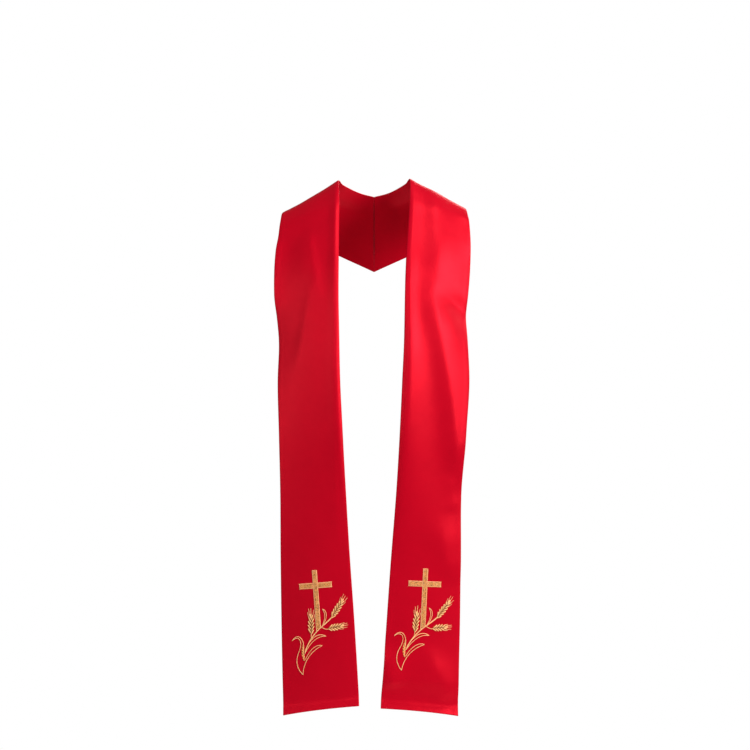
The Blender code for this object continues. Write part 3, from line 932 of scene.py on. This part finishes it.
def kernel_stitches(base, tip, width, lift, rng):
    """One kernel: long padded stitches side by side, the outer ones shorter and in the shade."""
    run = tip - base
    aside = Vector((-run.y, run.x)).normalized()
    stitches = []
    for index in range(KERNEL_STITCHES):
        place = (index + 0.5) / KERNEL_STITCHES * 2 - 1
        shorter = KERNEL_SHORTER * place * place
        start = base + run * shorter + aside * place * width * KERNEL_LOW_WIDTH
        end = tip - run * shorter + aside * place * width * KERNEL_HIGH_WIDTH
        tone = 1.0 - KERNEL_SHADING * place * place + rng.uniform(-KERNEL_DARKER, KERNEL_LIGHTER)
        thread = width / KERNEL_STITCHES * KERNEL_COVER
        stitches.append(Stitch(*start, *end, thread, KERNEL_RISE, tone, lift))
    return stitches


def ear_stitches(ear, rng):
    """An ear: dark stitches, which show between the kernels as painted shade, under two rows of kernels that
    lean out, one at the tip, and awns past them.
    """
    stalk, tip = Vector((ear.stalk_right, ear.stalk_up)), Vector((ear.tip_right, ear.tip_up))
    length = (tip - stalk).length
    ahead = (tip - stalk).normalized()
    aside = Vector((-ahead.y, ahead.x))
    step = length / (ear.pairs - 1 + KERNEL_OVERLAP + SIDE_STEP)
    size = step * KERNEL_OVERLAP
    thickness = ear.width * KERNEL_WIDTH

    def place(reach, out):
        """A point at a reach from the stalk, and out by a share of the ear's width there."""
        swell = EAR_END + (1 - EAR_END) * math.sin(math.pi * min(1.0, reach / length))
        return stalk + ahead * reach + aside * out * ear.width * swell

    def awn(start, lean, share=1.0):
        """A bristle past the kernels, at a share of the ear's own length of awn."""
        reach = ear.awn_length * share
        end = start + ahead * reach * rng.uniform(AWN_SHORTEST, AWN_LONGEST) + aside * lean * reach
        return Stitch(*(start - ahead * size * AWN_TUCK), *end, ear.awn_width, AWN_RISE, AWN_SHADE)

    stitches = []
    rows = round(ear.width * UNDERLAY_WIDTH / UNDERLAY_PITCH)
    for row in range(rows):
        out = ((row + 0.5) / rows - 0.5) * UNDERLAY_WIDTH
        short = length * UNDERLAY_SHORTER * out * out
        marks = [place(short + (length - 2 * short) * share, out) for share in UNDERLAY_MARKS]
        for first, second in zip(marks, marks[1:]):
            thread = UNDERLAY_PITCH * UNDERLAY_COVER
            stitches.append(Stitch(*first, *second, thread, UNDERLAY_RISE, UNDERLAY_SHADE))
    for pair in reversed(range(ear.pairs)):
        for side in (-1, 1):
            low = step * (pair + (SIDE_STEP if side > 0 else 0.0))
            root, end = place(low, side * KERNEL_ROOT), place(low + size, side * KERNEL_END)
            below_top = ear.pairs - 1 - pair
            if below_top < 2:
                stitches.append(awn(end, side * ear.awn_spread, (1.0, LOW_AWN)[below_top]))
            stitches += kernel_stitches(root, end, thickness, KERNEL_LIFT, rng)
    stitches.append(awn(tip, 0.0, END_AWN))
    top = tip + ahead * size * TIP_KERNEL_REACH
    stitches += kernel_stitches(tip - ahead * size, top, thickness, TIP_KERNEL_LIFT, rng)
    return stitches


def wedge_stitches(rng):
    """The filled heart of the leaves: slanting stitches off a bowed spine, like a small herringbone."""
    top, foot = Vector(WEDGE_TOP), Vector(WEDGE_FOOT)
    length = (top - foot).length
    ahead = (top - foot).normalized()
    aside = Vector((ahead.y, -ahead.x))
    steps = round(length / SATIN_PITCH)
    stitches = []
    for step in range(steps):
        share = (step + 0.5) / steps
        bow = WEDGE_LEAN * math.sin(math.pi * share)
        spine = foot + ahead * length * share + aside * bow
        half = WEDGE_WIDTH / 2 * math.sin(math.pi * share**WEDGE_FULLNESS) + WEDGE_END
        for side in (-1, 1):
            end = spine + aside * side * half + ahead * half * WEDGE_SLANT
            light = (step // WEDGE_GROUP + (side > 0)) % 2
            # One side is painted lighter and the other darker, as painted light and shade on the two slants
            tone = WEDGE_SHADE + WEDGE_SIDE_SHADE * side + WEDGE_GROUP_SHADE * light
            tone += rng.uniform(-WEDGE_SPREAD, WEDGE_SPREAD)
            stitches.append(Stitch(*spine, *end, SATIN_PITCH * WEDGE_COVER, WEDGE_RISE, tone))
    return stitches


# Settings that a user would change


# The kinds of settings, each with the unit or the subtype that fits it.
Colour = partial(FloatVectorProperty, subtype="COLOR")
Length = partial(FloatProperty, unit="LENGTH")
Share = partial(FloatProperty, subtype="FACTOR", min=0, max=1)
Power = partial(FloatProperty, unit="POWER", min=0)


class StoleCloth(bpy.types.PropertyGroup):
    """The satin and how it is sewn."""

    colour: Colour(name="Satin", description="Colour of the satin", default=(0.56, 0.0010, 0.0135))
    wall: Length(name="Thickness", description="Satin, interlining and backing together", default=0.0025)
    hem_depth: Length(name="Hem depth", description="Height of the turned-up hem", default=0.0190)
    turn_width: Length(name="Turning", description="Width turned in along the long edges", default=0.0120)
    turn_height: Length(
        name="Turning height", description="How far the turned cloth raises the face", default=0.0005
    )
    yarn: Length(
        name="Yarn", description="Distance from one float of the weave to the next", default=0.0009
    )
    lustre: Share(name="Lustre", description="Share of coloured shine", default=0.22)
    gloss: Share(name="Gloss", description="Strength of white shine", default=0.075)
    sheen: Share(name="Sheen", description="Light edge of the fibres", default=0.02)


class StoleThread(bpy.types.PropertyGroup):
    """The gold thread."""

    light: Colour(name="Light", description="Colour of the lightest stitches", default=(1.00, 0.60, 0.29))
    middle: Colour(name="Middle", description="Colour of the filled middles", default=(0.98, 0.40, 0.09))
    dark: Colour(name="Dark", description="Colour of the darkest stitches", default=(0.20, 0.07, 0.010))
    metal: Share(name="Metal", description="Share of coloured shine", default=0.10)
    stem_stitch: Length(name="Stem stitch", description="Length of a stitch in the stems", default=0.0032)


class StoleStage(bpy.types.PropertyGroup):
    """The pale studio."""

    floor_height: Length(name="Floor", description="Height of the floor, below the nape", default=-1.48)
    floor_radius: Length(name="Floor radius", description="Radius of the round floor", default=1.55)
    floor_colour: Colour(name="Floor colour", description="Colour of the floor", default=(0.86, 0.86, 0.86))
    ambient: FloatProperty(
        name="Ambient", description="Strength of the light from all round", default=0.165, min=0
    )
    key: Power(name="Key", description="Power of the soft light from the right", default=177.0)
    fill: Power(name="Fill", description="Power of the soft light from the front", default=45.0)
    side: Power(name="Side", description="Power of the soft light from the left", default=34.0)
    back: Power(name="Back", description="Power of the soft light from behind", default=47.0)


# Operators


class StoleOperator:
    """What every step of the making has in common."""

    bl_options = {"REGISTER", "UNDO"}


def embroider(context, band, name, seed, stitches, *replaced):
    """Sews one gold piece on a band's face. stitches is a function of the random draws."""
    place = partial(band.motif_points, wall=context.scene.stole_cloth.wall)
    drawn = stitches(random.Random(seed + band.side))
    sew(f"gold_{name}_{band.name}", place, drawn, gold(context), "gold_thread", *replaced)


def rope_stitches(strokes, length, rng):
    """The stitches of several lines, one line after another."""
    return [stitch for stroke in strokes for stitch in stem_stitches(stroke, length, rng)]


FLOOR_SIDES = 128
LENS = 96.0  # millimetres, on a film 36 wide
FILM = 36.0
CAMERA_PLACE = (0.002, -4.20, -0.3737)

# A soft rectangular light that faces the middle of the stole, with its share of a setting's power.
Lamp = namedtuple("Lamp", "name setting share width height x y z")

LAMPS = (
    Lamp("key", "key", 1.00, 1.3, 2.0, 3.1, -2.4, 1.20),
    Lamp("top", "key", 0.22, 1.1, 1.1, 1.1, -1.3, 2.6),
    Lamp("fill", "fill", 1.00, 2.6, 2.6, -1.0, -4.4, 1.7),
    Lamp("side", "side", 1.00, 2.0, 2.0, -3.2, -2.2, 0.4),
    Lamp("rim", "back", 0.45, 0.6, 1.8, 2.2, 1.0, 0.4),
    Lamp("back", "back", 1.00, 2.0, 2.0, 0.6, 3.2, 1.2),
)


class STOLE_OT_stage(StoleOperator, bpy.types.Operator):
    """Set the floor, the soft lights, the pale surroundings and the camera"""

    bl_idname = "stole.stage"
    bl_label = "Stage"

    def execute(self, context):
        scene = context.scene
        stage = scene.stole_stage
        scene.view_settings.view_transform = "Standard"
        self.make_floor(stage)
        self.make_surroundings(scene, stage)
        for lamp in LAMPS:
            self.add_light(lamp, getattr(stage, lamp.setting) * lamp.share)
        self.add_camera(scene)
        return {"FINISHED"}

    def make_floor(self, stage):
        bm = bmesh.new()
        bmesh.ops.create_circle(bm, cap_ends=True, radius=stage.floor_radius, segments=FLOOR_SIDES)
        bmesh.ops.translate(bm, verts=bm.verts, vec=(0, 0, stage.floor_height))
        mesh = bpy.data.meshes.new("floor")
        bm.to_mesh(mesh)
        bm.free()
        mesh.materials.append(floor_material("pale_floor", stage.floor_colour, stage.floor_radius))
        floor = bpy.data.objects.new("floor", mesh)
        bpy.context.scene.collection.objects.link(floor)

    def make_surroundings(self, scene, stage):
        """White where the camera looks past the stole, and dimmer as a light."""
        world = bpy.data.worlds.new("surroundings")
        scene.world = world
        world.use_nodes = True
        nodes = Nodes(world.node_tree)
        nodes.tree.nodes.clear()
        seen = nodes.signal("ShaderNodeLightPath", {}, {}, "Is Camera Ray")
        dim, white = (
            nodes.signal("ShaderNodeBackground", {}, {"Color": (1, 1, 1, 1), "Strength": strength})
            for strength in (stage.ambient, 1.0)
        )
        mixed = nodes.signal("ShaderNodeMixShader", {}, {0: seen, 1: dim, 2: white})
        nodes.node("ShaderNodeOutputWorld", {}, {"Surface": mixed})

    def add_light(self, lamp, power):
        light = bpy.data.lights.new(lamp.name, "AREA")
        light.shape = "RECTANGLE"
        light.energy = power
        light.size, light.size_y = lamp.width, lamp.height
        source = bpy.data.objects.new(lamp.name, light)
        source.location = (lamp.x, lamp.y, lamp.z)
        middle = (CAD_BOX[0] + CAD_BOX[1]) / 2
        source.rotation_euler = (middle - source.location).to_track_quat("-Z", "Y").to_euler()
        bpy.context.scene.collection.objects.link(source)

    def add_camera(self, scene):
        """Level, square to the front, with the lens of a portrait."""
        lens = bpy.data.cameras.new("camera")
        lens.lens = LENS
        lens.sensor_width = FILM
        camera = bpy.data.objects.new("camera", lens)
        camera.location = CAMERA_PLACE
        camera.rotation_euler = (math.pi / 2, 0, 0)
        scene.collection.objects.link(camera)
        scene.camera = camera


class STOLE_OT_bands(StoleOperator, bpy.types.Operator):
    """Lay the two satin bands over the shoulders"""

    bl_idname = "stole.bands"
    bl_label = "Satin bands"

    def execute(self, context):
        cloth = context.scene.stole_cloth
        material = satin_material(cloth)
        for band in BANDS:
            piece = lay_band(band, cloth, material)
            area = float(band.width(np.linspace(0, band.length, AREA_SAMPLES)).mean() * band.length)
        return {"FINISHED"}


class STOLE_OT_seam(StoleOperator, bpy.types.Operator):
    """Sew the two bands together at the centre back, and close the seam on its inner side"""

    bl_idname = "stole.seam"
    bl_label = "Centre-back seam"

    def execute(self, context):
        cloth = context.scene.stole_cloth
        light, dark = ([channel * share for channel in cloth.colour] for share in (0.9, 0.5))
        material = thread_material("red_thread", dark, dark, light, cloth.lustre)
        rng = random.Random(5)
        stitches = seam_stitches(BANDS[1], cloth.wall, rng)
        sew("seam_thread", BANDS[1].seam_points, stitches, material, "satin")
        return {"FINISHED"}


class STOLE_OT_crosses(StoleOperator, bpy.types.Operator):
    """Stitch a cross above each hem"""

    bl_idname = "stole.crosses"
    bl_label = "Crosses"

    def execute(self, context):
        for band in BANDS:
            embroider(context, band, "cross", 11, cross_stitches, f"cross_{band.name}")
        return {"FINISHED"}


class STOLE_OT_ears(StoleOperator, bpy.types.Operator):
    """Stitch three ears of wheat beside each cross"""

    bl_idname = "stole.ears"
    bl_label = "Ears of wheat"

    def execute(self, context):
        for band in BANDS:
            for number, ear in enumerate(EARS):
                name = f"ear_{ear.name}"
                stitches = partial(ear_stitches, ear)
                embroider(context, band, name, 31 + 7 * number, stitches, f"{name}_{band.name}")
        return {"FINISHED"}


class STOLE_OT_stems(StoleOperator, bpy.types.Operator):
    """Stitch the stems that join the ears"""

    bl_idname = "stole.stems"
    bl_label = "Stems"

    def execute(self, context):
        length = context.scene.stole_thread.stem_stitch
        for band in BANDS:
            embroider(context, band, "stems", 71, partial(rope_stitches, STEMS, length))
        return {"FINISHED"}


class STOLE_OT_leaves(StoleOperator, bpy.types.Operator):
    """Stitch the outlined leaves and their filled heart"""

    bl_idname = "stole.leaves"
    bl_label = "Leaves"

    def execute(self, context):
        length = context.scene.stole_thread.stem_stitch

        def leaves(rng):
            return rope_stitches(LEAVES, length, rng) + wedge_stitches(rng)

        for band in BANDS:
            embroider(context, band, "leaves", 91, leaves)
        return {"FINISHED"}


class STOLE_PT_panel(bpy.types.Panel):
    """The stole's pieces, in the order of making"""

    bl_label = "Clerical stole"
    bl_space_type = "VIEW_3D"
    bl_region_type = "UI"
    bl_category = "Stole"

    def draw(self, context):
        scene = context.scene
        for settings in (scene.stole_cloth, scene.stole_thread, scene.stole_stage):
            box = self.layout.box()
            for name in settings.__annotations__:
                box.prop(settings, name)
        for operator in OPERATORS:
            self.layout.operator(operator.bl_idname)


def gold(context):
    """The one gold thread material, made when it is first asked for."""
    thread = context.scene.stole_thread
    made = bpy.data.materials.get("gold_stitching")
    return made or thread_material("gold_stitching", thread.dark, thread.middle, thread.light, thread.metal)


SETTINGS = {"stole_cloth": StoleCloth, "stole_thread": StoleThread, "stole_stage": StoleStage}
OPERATORS = (
    STOLE_OT_stage,
    STOLE_OT_bands,
    STOLE_OT_seam,
    STOLE_OT_crosses,
    STOLE_OT_ears,
    STOLE_OT_stems,
    STOLE_OT_leaves,
)


def register():
    for made in (*SETTINGS.values(), *OPERATORS, STOLE_PT_panel):
        bpy.utils.register_class(made)
    for name, settings in SETTINGS.items():
        setattr(bpy.types.Scene, name, PointerProperty(type=settings))


def unregister():
    for name in SETTINGS:
        delattr(bpy.types.Scene, name)
    for made in reversed((*SETTINGS.values(), *OPERATORS, STOLE_PT_panel)):
        bpy.utils.unregister_class(made)


def main():
    register()
    bpy.ops.stole.stage()
    bpy.ops.stole.bands()
    bpy.ops.stole.seam()
    bpy.ops.stole.crosses()
    bpy.ops.stole.ears()
    bpy.ops.stole.stems()
    bpy.ops.stole.leaves()


if __name__ == "__main__":
    main()
